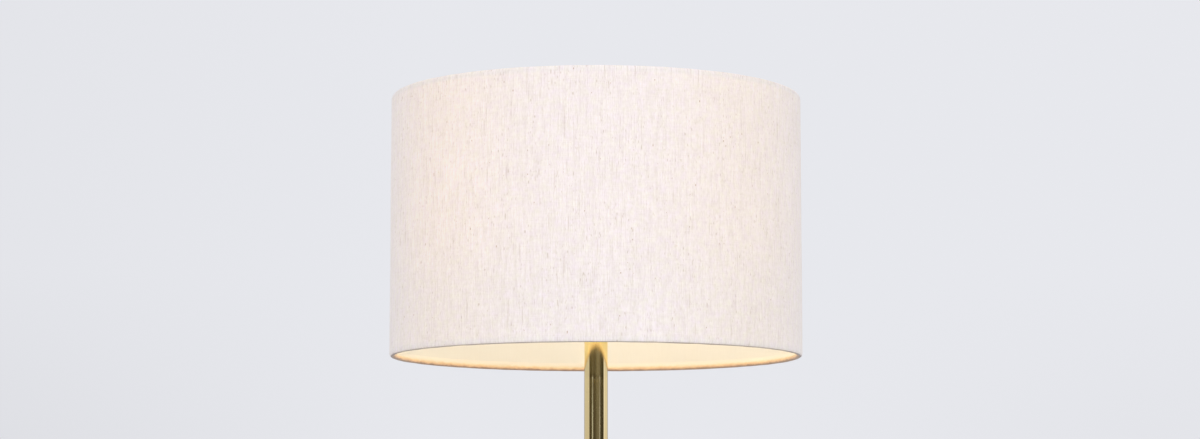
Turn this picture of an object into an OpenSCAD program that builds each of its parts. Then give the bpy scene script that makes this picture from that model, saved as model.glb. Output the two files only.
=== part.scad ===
// Tripod table lamp: a linen drum shade on a harp, a polished tube stem and a splayed three-leg base.
// Millimetres, +Z up. The origin is on the stem's axis, in the plane that the feet stand on.
// The front of the lamp faces -Y. The harp's loop lies in the XZ plane.

/* [Feet] */
// Radius of the circle that the three feet stand on
foot_circle_r = 130; // [118:1:140]
// Diameter of a foot's disc
foot_d = 26; // [24:1:32]
// Height of a foot's disc
foot_disc_h = 5; // [4.5:0.5:7]
// Diameter of the ball on a foot
foot_ball_d = 18; // [16:0.5:21]
// Height of the ball's centre over the table
foot_ball_z = 13; // [12:0.5:15]
// Diameter of a rubber pad
pad_d = 20; // [15:1:21]
// Thickness of a rubber pad
pad_h = 3.5; // [2.5:0.5:4.5]
// How far a pad stands out of its foot
pad_proud = 1.5; // [1:0.1:2]

/* [Legs] */
// Angle between a leg and the vertical
leg_splay = 38; // [34:1:42]
// Diameter of a leg at the hub
leg_top_d = 12; // [11:0.5:13]
// Diameter of a leg at the foot
leg_foot_d = 10; // [9:0.5:11]
// Diameter of the spigots at a leg's two ends
spigot_d = 8; // [6.5:0.5:8.5]
// Depth of a spigot in the hub
hub_spigot_len = 13; // [11:1:15]
// Depth of a spigot in a foot
foot_spigot_len = 6; // [5:0.5:7]
// Diameter of the ferrule that covers a leg's joint with the hub
ferrule_d = 16; // [15:0.5:18]
// Length of a ferrule
ferrule_h = 4; // [3:0.5:6]
// Diameter of the grub screw that holds a leg
grub_d = 4; // [3:0.5:4]

/* [Hub] */
// Height of the hub over its underside
hub_h = 32; // [30:1:38]
// Depth of the bore that the stem stands in
stem_bore_depth = 16; // [12:1:17]
// Least wall between a leg's bore and the stem's bore
hub_core_wall = 3; // [2.5:0.5:5]
// Wall around the stem at the hub's neck
hub_neck_wall = 3.5; // [3:0.5:5]
// Height of the hub's upright rim
hub_rim_h = 5; // [4.8:0.1:6]
// Radius of the hollow curve between the rim and the neck
hub_cove_r = 38; // [34:1:60]
// Height of the cup under the hub
cup_h = 32; // [31:1:38]
// Wall of the cup
cup_wall = 1.5; // [1.2:0.1:2]
// Thickness of the cup's floor
cup_floor = 3; // [2.5:0.5:4]
// Radius of the cup's lower edge
cup_edge_r = 5; // [3:0.5:6]
// Height of the hub's spigot that the cup is pushed over
cup_lap = 5; // [4:0.5:6]
// Bore of the inlet bush
inlet_bore_d = 7; // [6:0.5:7.5]
// Hole in the cup for the inlet bush
inlet_hole_d = 10; // [9.5:0.5:11]

/* [Stem] */
// Outer diameter of the stem tube
stem_d = 20; // [18:0.5:22]
// Wall of the stem tube
stem_wall = 1.5; // [1:0.1:2]
// Length of the stem tube
stem_len = 240; // [200:1:280]
// Outer diameter of the hollow threaded tube
rod_d = 10; // [9.5:0.1:10.5]
// Bore of the hollow threaded tube
rod_bore_d = 7; // [6.6:0.1:7.4]
// Height of the collar on the hub
collar_h = 6; // [4:0.5:9]
// Wall of the collar around the stem
collar_wall = 4; // [3:0.5:5]
// Height of the cap on top of the stem
stem_cap_h = 6; // [4:0.5:9]
// How far the cap stands out past the stem
stem_cap_lip = 2.5; // [1:0.5:4]
// Depth of the cap's spigot in the stem
stem_cap_spigot = 8; // [5:1:12]

/* [Harp] */
// Height from the saddle to the seat that the shade hangs on
harp_h = 182.5; // [176:0.5:205]
// Distance between the wires at the harp's widest point
harp_w = 112; // [104:1:124]
// Diameter of the harp's wire
harp_wire_d = 3.2; // [2.8:0.1:3.6]
// Radius of the two bends of the harp's shoulders
harp_bend_r = 40; // [36:1:48]
// Radius of the harp's top
harp_top_r = 50; // [44:1:51]
// Thickness of the saddle's sheet
saddle_t = 1.5; // [1.2:0.1:2]
// Distance from the stem's axis to the harp's foot
saddle_x = 29; // [27:0.5:32]
// Width of the saddle's arms
saddle_w = 12; // [10:0.5:14]
// Width of the saddle's round seat past the threaded tube
saddle_seat_w = 5; // [4:0.5:8]
// Height of the tongue that the harp's foot leans on
tongue_h = 11; // [9:0.5:14]
// Width of the tongue
tongue_w = 3.6; // [3:0.1:4]
// Length of a locking sleeve
sleeve_len = 13; // [12:0.5:15]
// Wall of a locking sleeve
sleeve_wall = 0.8; // [0.6:0.1:1.2]
// Lift of a locking sleeve
sleeve_travel = 12; // [10:1:14]
// Diameter of the stud that holds the finial
stud_d = 6.2; // [5.8:0.1:6.6]
// Length of the stud over the seat
stud_len = 11; // [9:0.5:12]

/* [Shade] */
// Outer diameter of the shade
shade_d = 350; // [320:1:380]
// Height of the shade
shade_h = 222; // [200:1:240]
// Thickness of the linen
linen_t = 0.8; // [0.6:0.1:1]
// Thickness of the liner
liner_t = 0.4; // [0.3:0.1:0.5]
// Diameter of the shade's ring wire
ring_wire_d = 2.6; // [2.2:0.1:3.4]
// Height of the rolled edge
hem_h = 9; // [8:0.5:12]
// Drop of the spider's washer under the top edge
spider_drop = 12; // [8:1:20]
// Thickness of the spider's washer
spider_t = 1.5; // [1.2:0.1:2]
// Diameter of the spider's washer
spider_washer_d = 30; // [26:1:36]
// Diameter of the spider's arms
spider_arm_d = 3; // [2.6:0.1:3.4]
// Height of the finial
finial_h = 24; // [23:0.5:30]
// Diameter of the finial's ball
finial_ball_d = 17; // [14:0.5:17]
// Diameter of the finial's base
finial_base_d = 16; // [14:0.5:20]

/* [Lampholder] */
// Outer diameter of the lampholder's cap
holder_d = 34.4; // [34:0.2:36]
// Wall of the lampholder's cap
holder_cap_wall = 0.8; // [0.6:0.1:1]
// Height of the lampholder's cap
holder_cap_h = 21; // [20:0.5:23]
// Wall of the lampholder's shell
holder_shell_wall = 0.5; // [0.4:0.1:0.7]
// Height of the shell's open top over the saddle
holder_h = 52; // [50:0.5:54]
// Thickness of the insulating liner
holder_liner_t = 0.7; // [0.5:0.1:0.9]
// Height of the insulating body
holder_body_h = 19; // [18:0.5:20]
// Height of the switch's axis over the insulating body's underside
switch_lift = 9.5; // [9:0.5:10.5]
// Diameter of the switch's spindle
spindle_d = 5; // [4:0.5:5.5]
// Diameter of the rotor on the spindle
rotor_d = 9; // [8:0.5:10]
// Length of the key past the shell
key_len = 20; // [16:1:24]
// Width of the key's paddle
key_w = 14; // [11:1:16]

/* [Bulb] */
// Largest diameter of the bulb
bulb_d = 60; // [55:1:66]
// Length of the bulb with its cap
bulb_len = 110; // [104:1:118]
// Crest diameter of the bulb's screw cap
bulb_thread_d = 26.4; // [26:0.1:26.8]
// Length of the bulb's screw cap
bulb_cap_len = 21; // [20:0.5:23]
// Wall of the glass
bulb_wall = 1; // [0.8:0.1:1.4]
// Pitch of the screw cap
bulb_pitch = 3.6; // [3.4:0.1:3.7]
// Height of the glass mount that carries the filament
bulb_mount_h = 34; // [28:1:36]

/* [Wiring] */
// Outer diameter of a lead
lead_d = 2; // [1.8:0.1:2.2]
// Distance between the ways of the terminal block
way_pitch = 8; // [7:0.5:8]
// Depth of the terminal block
block_w = 13; // [12:0.5:14]
// Height of the terminal block
block_h = 11; // [10:0.5:12]

/* [Hidden] */

$fn = 64;
eps = 0.02;

// Clearances: a fixed fit, a turning or sliding fit, cloth rolled round a ring, and a hole that a
// screw or lead passes freely
fit = 0.05;
run = 0.08;
roll_fit = 0.4;
free = 0.3;

// Directions of the legs, and of what stands in the gaps between them
leg_turns = [30, 150, 270];
gap_turns = [90, 210, 330];

// Hub: the legs meet it square to their own axis
stem_r = stem_d / 2;
leg_drop_r = sin(leg_splay);
leg_drop_z = cos(leg_splay);
seat_cut = 1;
hub_bore_len = hub_spigot_len + seat_cut + 1;
hub_face_r = stem_r + hub_core_wall + hub_bore_len * leg_drop_r + spigot_d / 2 * leg_drop_z;
hub_face_z = foot_ball_z + (foot_circle_r - hub_face_r) / tan(leg_splay);
hub_face_half = ferrule_d / 2 + 1;
hub_z = hub_face_z - hub_face_half * leg_drop_r;
hub_foot_r = hub_face_r - hub_face_half * leg_drop_z;
hub_rim_r = hub_face_r + hub_face_half * leg_drop_z;
hub_rim_z = hub_face_z + hub_face_half * leg_drop_r;
hub_top_z = hub_z + hub_h;
neck_r = stem_r + hub_neck_wall;
stem_z = hub_top_z - stem_bore_depth;

// Cup under the hub, and what it holds
cup_r = hub_foot_r;
cup_inner_r = cup_r - cup_wall;
cup_z = hub_z - cup_h;
cup_ring_wall = 2.4;
cup_screw_d = 3;
cup_screw_z = hub_z - cup_lap / 2;
hub_washer_d = 20;
hub_washer_t = 1.5;
tag_t = 0.8;
hub_nut_af = 17;
hub_nut_h = 4;
hub_nut_z = hub_z - hub_washer_t - tag_t - hub_nut_h;
rod_z = hub_nut_z - 1.5;
block_z = cup_z + cup_floor;
block_l = 3 * way_pitch;
block_bore_z = block_z + 4;
block_bore_r = lead_d / 2 + 0.3;
clamp_d = 3;
clamp_y = 3.4;
clamp_len = block_z + block_h - block_bore_z - lead_d / 2 - 0.5;
inlet_z = block_bore_z + 5;

// Top of the stem
stem_top_z = stem_z + stem_len;
saddle_z = stem_top_z + stem_cap_h;
holder_z = saddle_z + saddle_t;
rod_top_z = holder_z + 7;

// Harp
wire_r = harp_wire_d / 2;
harp_flat = 0.6;
tongue_x = saddle_x - harp_flat;
sleeve_x = (saddle_x + wire_r + tongue_x - saddle_t) / 2;
sleeve_half = (wire_r + harp_flat + saddle_t) / 2;
sleeve_bore_r = norm([sleeve_half, tongue_w / 2]) + run;
sleeve_r = sleeve_bore_r + sleeve_wall;
harp_seat_z = holder_z + harp_h;
harp_boss_h = 6;
harp_boss_r = 7;
harp_top_z = harp_seat_z - harp_boss_h + wire_r;
harp_bend_z = holder_z + sleeve_len + sleeve_travel + 1;
harp_bend_a = acos(1 - (harp_w / 2 - saddle_x) / (2 * harp_bend_r));
harp_side_z = harp_bend_z + 2 * harp_bend_r * sin(harp_bend_a);

// Shade
shade_r = shade_d / 2;
shade_top_z = harp_seat_z + spider_t + spider_drop;
shade_z = shade_top_z - shade_h;
ring_r = ring_wire_d / 2;
roll_r = ring_r + roll_fit;
ring_lift = linen_t + roll_r;
ring_circle_r = shade_r - linen_t - roll_r;
linen_in_r = shade_r - linen_t;
liner_r = linen_in_r - fit;
liner_in_r = liner_r - liner_t;
wrap_a = 135;

// Lampholder
holder_r = holder_d / 2;
holder_boss_r = 8;
holder_boss_h = 6;
cap_in_r = holder_r - holder_cap_wall;
shell_r = cap_in_r - fit;
shell_in_r = shell_r - holder_shell_wall;
shell_z = holder_z + holder_cap_h - 5;
shell_top_z = holder_z + holder_h;
holder_liner_r = shell_in_r - fit;
body_r = holder_liner_r - holder_liner_t - fit;
body_z = shell_z + 1;
body_top_z = body_z + holder_body_h;
screw_shell_in_r = bulb_thread_d / 2 + run;
screw_shell_wall = 0.4;
screw_shell_floor = 0.8;
contact_t = 1.2;
contact_r = 4;
switch_z = body_z + switch_lift;
rotor_len = 5;
rotor_y = -3;
switch_bush_y = rotor_y - rotor_len - run;
switch_bush_len = 3;
key_y = -(shell_r + 1.5);
key_hub_len = 7;
terminal_x = 8;
terminal_shank_d = 3;
terminal_head_d = 7;
terminal_head_h = 2;

// Bulb
bulb_z = body_top_z + contact_t + 0.1;
bulb_r = bulb_d / 2;
bulb_cap_z = bulb_z + 5;
bulb_cap_top_z = bulb_cap_z + bulb_cap_len;
bulb_top_z = bulb_z + bulb_len;
neck_glass_r = bulb_thread_d / 2 - 0.7;
bulb_neck_arc = 40;
bulb_belly_z = bulb_top_z - bulb_r;
threads = 4;
cap_wall = 0.5;
cap_skirt_z = bulb_cap_z + 3 + threads * bulb_pitch;
bulb_foot_z = cap_skirt_z + fit;
mount_z = bulb_foot_z - 1.5;
mount_flare_r = neck_glass_r - bulb_wall + 0.2;
mount_top_z = bulb_foot_z + bulb_mount_h;
support_d = 0.8;
support_foot_x = 1.2;
support_x = 11;
support_rise = 20;
support_top_z = mount_top_z + support_rise;
filament_d = 1.4;

// A tube along a list of points, with its rings carried along without twist
sides = 8;
function unit(v) = v / norm(v);
function heading(p, i) =
    i == 0 ? unit(p[1] - p[0])
    : i == len(p) - 1 ? unit(p[i] - p[i - 1])
    : unit(unit(p[i + 1] - p[i]) + unit(p[i] - p[i - 1]));
function carried(p, i, start) =
    let (t = heading(p, i), last = i == 0 ? start : carried(p, i - 1, start))
    unit(last - (last * t) * t);
function ring_points(p, i, r, start) =
    let (t = heading(p, i), n = carried(p, i, start), b = cross(t, n))
    [for (k = [0 : sides - 1]) p[i] + r * (cos(k * 360 / sides) * n + sin(k * 360 / sides) * b)];
function bezier(p, t) =
    pow(1 - t, 3) * p[0] + 3 * t * pow(1 - t, 2) * p[1] + 3 * t * t * (1 - t) * p[2] + pow(t, 3) * p[3];
function curve(p, steps = 10) = [for (i = [0 : steps]) bezier(p, i / steps)];

module lead(path, start) {
    last = len(path) - 1;
    points = [for (i = [0 : last]) each ring_points(path, i, lead_d / 2, start)];
    walls = [
        for (i = [0 : last - 1])
        for (k = [0 : sides - 1])
        let (a = i * sides + k, b = i * sides + (k + 1) % sides)
        each [[a, a + sides, b + sides], [a, b + sides, b]]
    ];
    near = [for (k = [1 : sides - 2]) [0, k, k + 1]];
    far = [for (k = [1 : sides - 2]) [last * sides, last * sides + k + 1, last * sides + k]];
    polyhedron(points = points, faces = concat(walls, near, far));
}

// Places a child at the point where a leg's axis meets the hub's face, with +Z down along the leg
module at_leg(turn) {
    rotate([0, 0, turn])
        translate([hub_face_r, 0, hub_face_z])
        rotate([0, 180 - leg_splay, 0])
        children();
}

module tube(outer_r, inner_r, h) {
    difference() {
        cylinder(r = outer_r, h = h);
        translate([0, 0, -1]) cylinder(r = inner_r, h = h + 2);
    }
}

// A pan-head screw that points down, with its head's underside at z = 0
module pan_screw(shank_d, shank_len, head_d, head_h) {
    difference() {
        union() {
            translate([0, 0, -shank_len]) cylinder(d = shank_d, h = shank_len + eps);
            cylinder(d = head_d, h = head_h);
        }
        translate([-head_d, -0.4, head_h * 0.55]) cube([2 * head_d, 0.8, head_h]);
    }
}

leg_axis_len = norm([foot_circle_r - hub_face_r, hub_face_z - foot_ball_z]);
ball_r = foot_ball_d / 2;
ball_flat = sqrt(pow(ball_r, 2) - pow(leg_foot_d / 2, 2));
leg_start = ferrule_h - seat_cut;
leg_end = leg_axis_len - ball_flat;

module foot_pads() {
    color("#2b2b2b")
        for (turn = leg_turns)
        rotate([0, 0, turn])
        translate([foot_circle_r, 0, 0])
        cylinder(d = pad_d, h = pad_h);
}

module feet() {
    color("#c9a45c")
        for (turn = leg_turns)
        difference() {
            rotate([0, 0, turn])
                translate([foot_circle_r, 0, 0])
                difference() {
                    union() {
                        translate([0, 0, pad_proud]) cylinder(d = foot_d, h = foot_disc_h - 1);
                        translate([0, 0, pad_proud + foot_disc_h - 1])
                            cylinder(d1 = foot_d, d2 = foot_d - 4, h = 1);
                        translate([0, 0, foot_ball_z]) sphere(d = foot_ball_d);
                    }
                    translate([0, 0, -ball_r]) cylinder(d = 2 * foot_d, h = pad_proud + ball_r);
                    cylinder(d = pad_d + 2 * fit, h = pad_h);
                }
            at_leg(turn) {
                translate([0, 0, leg_end - 2 * ball_r]) cylinder(r = ball_r, h = 2 * ball_r);
                cylinder(d = spigot_d + 2 * fit, h = leg_end + foot_spigot_len + 0.5);
            }
        }
}

module leg(turn) {
    color("#c9a45c")
        at_leg(turn)
        union() {
            translate([0, 0, -hub_spigot_len])
                cylinder(d = spigot_d, h = hub_spigot_len + leg_start + eps);
            translate([0, 0, leg_start])
                cylinder(d1 = leg_top_d, d2 = leg_foot_d, h = leg_end - leg_start);
            translate([0, 0, leg_end - eps])
                cylinder(d = spigot_d, h = foot_spigot_len + eps);
        }
}

module leg_1() { leg(leg_turns[0]); }
module leg_2() { leg(leg_turns[1]); }
module leg_3() { leg(leg_turns[2]); }

module leg_ferrules() {
    color("#d4b26a")
        for (turn = leg_turns)
        at_leg(turn)
        translate([0, 0, -seat_cut])
        difference() {
            union() {
                cylinder(d = ferrule_d, h = ferrule_h - 1);
                translate([0, 0, ferrule_h - 1])
                    cylinder(d1 = ferrule_d, d2 = ferrule_d - 2, h = 1);
            }
            translate([0, 0, -1]) cylinder(d = spigot_d + 2 * fit, h = ferrule_h + 2);
        }
}

// A grub screw lies level in the hub's rim and bears on the leg's spigot with its lower edge
grub_z = hub_face_z + (ferrule_d / 2 + fit) * leg_drop_r + seat_cut * leg_drop_z + grub_d / 2 + 0.4;
grub_end_r = hub_face_r - (grub_z - grub_d / 2 - hub_face_z) * tan(leg_splay)
    + spigot_d / 2 / leg_drop_z + fit;
grub_sink = 0.6;

module leg_grub_screws() {
    color("#3a3a3a")
        for (turn = leg_turns)
        rotate([0, 0, turn])
        translate([grub_end_r, 0, grub_z])
        rotate([0, 90, 0])
        difference() {
            cylinder(d = grub_d, h = hub_rim_r - grub_sink - grub_end_r);
            translate([0, 0, hub_rim_r - grub_sink - grub_end_r - 1.8])
                cylinder(d = grub_d * 0.55, h = 3, $fn = 6);
        }
}

// Outline of the hub, in radius and height: cone below, upright rim, hollow curve up to the neck
module hub_outline() {
    low = [hub_rim_r, hub_rim_z + hub_rim_h];
    high = [neck_r, hub_top_z - 2];
    chord = high - low;
    side = unit([-chord[1], chord[0]]);
    out = side[0] > 0 ? side : -side;
    cove = (low + high) / 2 + out * sqrt(pow(hub_cove_r, 2) - pow(norm(chord) / 2, 2));
    difference() {
        polygon([
            [0, hub_z], [hub_foot_r, hub_z], [hub_rim_r, hub_rim_z], low, high,
            [neck_r, hub_top_z], [0, hub_top_z]
        ]);
        translate(cove) circle(r = hub_cove_r, $fn = 200);
    }
    translate([0, hub_top_z - 2]) square([neck_r, 2]);
}

module tripod_hub() {
    color("#c9a45c")
        difference() {
            union() {
                rotate_extrude($fn = 128) hub_outline();
                translate([0, 0, hub_z - cup_lap])
                    tube(cup_inner_r - fit, cup_inner_r - cup_ring_wall, cup_lap + eps);
            }
            translate([0, 0, hub_z - 1]) cylinder(d = rod_d + 2 * fit, h = hub_h + 2);
            translate([0, 0, stem_z]) cylinder(r = stem_r + fit, h = stem_bore_depth + 1);
            for (turn = leg_turns) {
                at_leg(turn) {
                    translate([0, 0, -hub_bore_len]) cylinder(d = spigot_d + 2 * fit, h = hub_bore_len + 1);
                    translate([0, 0, -seat_cut]) cylinder(d = ferrule_d + 2 * fit, h = seat_cut + 6);
                }
                rotate([0, 0, turn])
                    translate([grub_end_r - fit, 0, grub_z])
                    rotate([0, 90, 0])
                    cylinder(d = grub_d + 2 * fit, h = hub_rim_r);
            }
            for (turn = gap_turns)
                rotate([0, 0, turn])
                translate([0, 0, cup_screw_z])
                rotate([0, 90, 0])
                translate([0, 0, cup_inner_r - cup_ring_wall - 2])
                cylinder(d = cup_screw_d + 2 * fit, h = 10);
        }
}

module hub_cup() {
    color("#c9a45c")
        difference() {
            rotate_extrude($fn = 128)
                difference() {
                    union() {
                        translate([0, cup_z + cup_edge_r]) square([cup_r, cup_h - cup_edge_r]);
                        translate([0, cup_z]) square([cup_r - cup_edge_r, cup_edge_r + eps]);
                        translate([cup_r - cup_edge_r, cup_z + cup_edge_r]) circle(r = cup_edge_r);
                    }
                    translate([0, cup_z + cup_floor]) square([cup_inner_r, cup_h]);
                }
            translate([0, 0, inlet_z])
                rotate([-90, 0, 0])
                cylinder(d = inlet_hole_d, h = 2 * cup_r);
            for (turn = gap_turns)
                rotate([0, 0, turn])
                translate([0, 0, cup_screw_z])
                rotate([0, 90, 0])
                cylinder(d = cup_screw_d + 2 * fit, h = 2 * cup_r);
            translate([way_pitch / 2, 0, cup_z + 0.8]) cylinder(d = clamp_d + 2 * fit, h = cup_floor);
        }
}

module cup_screws() {
    color("#d4b26a")
        for (turn = gap_turns)
        rotate([0, 0, turn])
        translate([cup_r, 0, cup_screw_z])
        rotate([0, 90, 0])
        pan_screw(cup_screw_d, cup_wall + cup_ring_wall, 5, 2);
}

// The bush's flange is shaped to the cup, and its barrel fills the hole in the cup's wall
module inlet_bush() {
    color("#222222")
        translate([0, 0, inlet_z])
        difference() {
            union() {
                rotate([-90, 0, 0]) translate([0, 0, cup_inner_r - 2.5])
                    cylinder(d = inlet_hole_d - 2 * fit, h = 4.5);
                difference() {
                    rotate([-90, 0, 0]) translate([0, 0, cup_inner_r])
                        cylinder(d = inlet_hole_d + 3, h = cup_wall + 1.8);
                    translate([0, 0, -inlet_hole_d]) cylinder(r = cup_r, h = 2 * inlet_hole_d, $fn = 128);
                }
            }
            rotate([-90, 0, 0]) cylinder(d = inlet_bore_d, h = 2 * cup_r);
        }
}

module terminal_block() {
    color("#e8e6de")
        difference() {
            union() {
                translate([-block_l / 2, -block_w / 2, block_z]) cube([block_l, block_w, block_h - 3]);
                for (way = [-1 : 1])
                    translate([way * way_pitch - 2.6, -block_w / 2 + 0.6, block_z])
                    cube([5.2, block_w - 1.2, block_h]);
            }
            for (way = [-1 : 1]) {
                translate([way * way_pitch, -block_w, block_bore_z])
                    rotate([-90, 0, 0])
                    cylinder(r = block_bore_r, h = 2 * block_w);
                for (y = [-clamp_y, clamp_y])
                    translate([way * way_pitch, y, block_bore_z])
                    cylinder(d = clamp_d + 2 * fit, h = block_h);
            }
            translate([way_pitch / 2, 0, block_z - 1]) cylinder(d = clamp_d + 2 * fit, h = block_h);
        }
}

module terminal_screws() {
    color("#b8b8b8")
        for (way = [-1 : 1])
        for (y = [-clamp_y, clamp_y])
        translate([way * way_pitch, y, block_bore_z + lead_d / 2 + fit])
        difference() {
            cylinder(d = clamp_d, h = clamp_len);
            translate([-clamp_d, -0.35, clamp_len - 0.8]) cube([2 * clamp_d, 0.7, 2]);
        }
}

module block_screw() {
    color("#b8b8b8")
        translate([way_pitch / 2, 0, block_z + block_h - 3])
        pan_screw(clamp_d, block_h - 3 + cup_floor - 1.2, 2.6, 0.9);
}

module hub_washer() {
    color("#b8b8b8")
        translate([0, 0, hub_z - hub_washer_t])
        tube(hub_washer_d / 2, rod_d / 2 + free, hub_washer_t);
}

// Ring tag between the washer and the nut, with a tail that the earth lead is soldered to
tag_reach = 12;
module earth_tag() {
    color("#c8c8c8")
        translate([0, 0, hub_z - hub_washer_t - tag_t])
        difference() {
            union() {
                cylinder(r = 8, h = tag_t);
                translate([-2, -tag_reach, 0]) cube([4, tag_reach, tag_t]);
            }
            translate([0, 0, -1]) cylinder(r = rod_d / 2 + free, h = tag_t + 2);
        }
}

module hub_nut() {
    color("#d4b26a")
        translate([0, 0, hub_nut_z])
        difference() {
            cylinder(r = hub_nut_af / 2 / cos(30), h = hub_nut_h, $fn = 6);
            translate([0, 0, -1]) cylinder(d = rod_d + 2 * fit, h = hub_nut_h + 2);
        }
}

module threaded_tube() {
    color("#b89a5a")
        translate([0, 0, rod_z])
        tube(rod_d / 2, rod_bore_d / 2, rod_top_z - rod_z);
}

module stem_collar() {
    color("#d4b26a")
        translate([0, 0, hub_top_z])
        rotate_extrude($fn = 96)
        difference() {
            union() {
                square([stem_r + collar_wall - collar_h / 4, collar_h]);
                translate([0, collar_h / 4]) square([stem_r + collar_wall, collar_h / 2]);
                for (z = [collar_h / 4, collar_h * 3 / 4])
                    translate([stem_r + collar_wall - collar_h / 4, z]) circle(r = collar_h / 4);
            }
            translate([0, -1]) square([stem_r + fit, collar_h + 2]);
        }
}

module stem() {
    color("#c9a45c")
        translate([0, 0, stem_z])
        tube(stem_r, stem_r - stem_wall, stem_len);
}

module stem_cap() {
    color("#d4b26a")
        difference() {
            union() {
                translate([0, 0, stem_top_z - stem_cap_spigot])
                    cylinder(r = stem_r - stem_wall - fit, h = stem_cap_spigot + eps);
                translate([0, 0, stem_top_z]) cylinder(r = stem_r + stem_cap_lip, h = stem_cap_h / 2);
                translate([0, 0, stem_top_z + stem_cap_h / 2])
                    cylinder(r1 = stem_r + stem_cap_lip, r2 = stem_r, h = stem_cap_h / 2);
            }
            translate([0, 0, stem_top_z - stem_cap_spigot - 1])
                cylinder(d = rod_d + 2 * fit, h = stem_cap_spigot + stem_cap_h + 2);
        }
}

module harp_saddle() {
    color("#c9a45c")
        difference() {
            union() {
                translate([0, 0, saddle_z]) cylinder(r = rod_d / 2 + saddle_seat_w, h = saddle_t);
                translate([-saddle_x, -saddle_w / 2, saddle_z]) cube([2 * saddle_x, saddle_w, saddle_t]);
                for (s = [-1, 1]) {
                    translate([s * saddle_x, 0, saddle_z]) cylinder(d = saddle_w, h = saddle_t);
                    translate([s * (tongue_x - saddle_t / 2) - saddle_t / 2, -tongue_w / 2, saddle_z])
                        cube([saddle_t, tongue_w, saddle_t + tongue_h]);
                }
            }
            translate([0, 0, saddle_z - 1]) cylinder(r = rod_d / 2 + free, h = saddle_t + 2);
        }
}

// An arc of harp wire in the XZ plane, centred on [x, z]. It is a hair thinner than the straight
// stretches and runs a little way into them, so that the two join cleanly.
arc_thinner = 0.02;
arc_lap = 0.3;
module wire_arc(x, z, r, from, to) {
    lap = arc_lap / r * 180 / PI;
    translate([x, 0, z])
        rotate([90, 0, 0])
        rotate([0, 0, from - lap])
        rotate_extrude(angle = to - from + 2 * lap, $fn = 128)
        translate([r, 0])
        circle(r = wire_r - arc_thinner, $fn = 32);
}

// A straight stretch of harp wire from a point, leaning by an angle from the vertical towards +X
module wire_line(from, lean, len) {
    translate(from)
        rotate([0, lean, 0])
        cylinder(r = wire_r, h = len, $fn = 32);
}

module harp_side() {
    bend_mid = [(saddle_x + harp_w / 2) / 2, 0, harp_bend_z + harp_bend_r * sin(harp_bend_a)];
    mid_half = 0.5;
    difference() {
        wire_line([saddle_x, 0, holder_z], 0, harp_bend_z - holder_z);
        translate([tongue_x - wire_r * 2, -wire_r * 2, holder_z - 1])
            cube([wire_r * 2, wire_r * 4, tongue_h + 1.5]);
    }
    wire_arc(saddle_x + harp_bend_r, harp_bend_z, harp_bend_r, 180 - harp_bend_a, 180);
    wire_line(
        bend_mid - mid_half * [sin(harp_bend_a), 0, cos(harp_bend_a)], harp_bend_a, 2 * mid_half
    );
    wire_arc(harp_w / 2 - harp_bend_r, harp_side_z, harp_bend_r, -harp_bend_a, 0);
    wire_line([harp_w / 2, 0, harp_side_z], 0, harp_top_z - harp_top_r - harp_side_z);
    wire_arc(harp_w / 2 - harp_top_r, harp_top_z - harp_top_r, harp_top_r, 0, 90);
}

module harp() {
    color("#c9a45c")
        union() {
            harp_side();
            mirror([1, 0, 0]) harp_side();
            wire_line([harp_top_r - harp_w / 2, 0, harp_top_z], 90, harp_w - 2 * harp_top_r);
            translate([0, 0, harp_seat_z - harp_boss_h]) cylinder(r = harp_boss_r, h = harp_boss_h);
            translate([0, 0, harp_seat_z - eps]) cylinder(d = stud_d, h = stud_len + eps);
        }
}

module harp_sleeve(side) {
    color("#d4b26a")
        translate([side * sleeve_x, 0, holder_z])
        tube(sleeve_r, sleeve_bore_r, sleeve_len);
}

module harp_sleeve_left() { harp_sleeve(-1); }
module harp_sleeve_right() { harp_sleeve(1); }

module lampholder_cap() {
    shoulder = holder_cap_h - 6;
    color("#d4b26a")
        translate([0, 0, holder_z])
        rotate_extrude($fn = 96)
        difference() {
            polygon([
                [0, 0], [holder_boss_r, 0], [holder_boss_r, holder_boss_h], [holder_r, shoulder],
                [holder_r, holder_cap_h], [0, holder_cap_h]
            ]);
            translate([0, -1]) square([rod_d / 2 + fit, holder_cap_h + 2]);
            polygon([
                [0, holder_boss_h + 1], [holder_boss_r - 1, holder_boss_h + 1],
                [cap_in_r, shoulder + 0.4], [cap_in_r, holder_cap_h + 1], [0, holder_cap_h + 1]
            ]);
        }
}

// The hole for the switch's spindle, through the shell, the liner and into the body
module switch_hole(r, from, to) {
    translate([0, from, switch_z])
        rotate([90, 0, 0])
        cylinder(r = r, h = from - to);
}

module lampholder_shell() {
    color("#d4b26a")
        difference() {
            union() {
                translate([0, 0, shell_z]) tube(shell_r, shell_in_r, shell_top_z - shell_z);
                translate([0, 0, shell_top_z - 1])
                    rotate_extrude($fn = 96)
                    translate([shell_r, 0])
                    circle(r = 0.9, $fn = 24);
            }
            translate([0, 0, shell_top_z - 3]) cylinder(r = shell_in_r, h = 6);
            switch_hole(spindle_d / 2 + 1, 0, -2 * shell_r);
        }
}

module lampholder_liner() {
    color("#c8b48a")
        difference() {
            translate([0, 0, body_z])
                tube(holder_liner_r, holder_liner_r - holder_liner_t, shell_top_z - 1.5 - body_z);
            switch_hole(spindle_d / 2 + 1, 0, -2 * shell_r);
        }
}

module lampholder_body() {
    color("#1d1d1d")
        difference() {
            translate([0, 0, body_z]) cylinder(r = body_r, h = holder_body_h);
            switch_hole(rotor_d / 2 + run, rotor_y, -2 * shell_r);
            for (s = [-1, 1])
                translate([s * terminal_x, 0, body_z - 1])
                cylinder(d = terminal_shank_d + 2 * fit, h = 7);
        }
}

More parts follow.
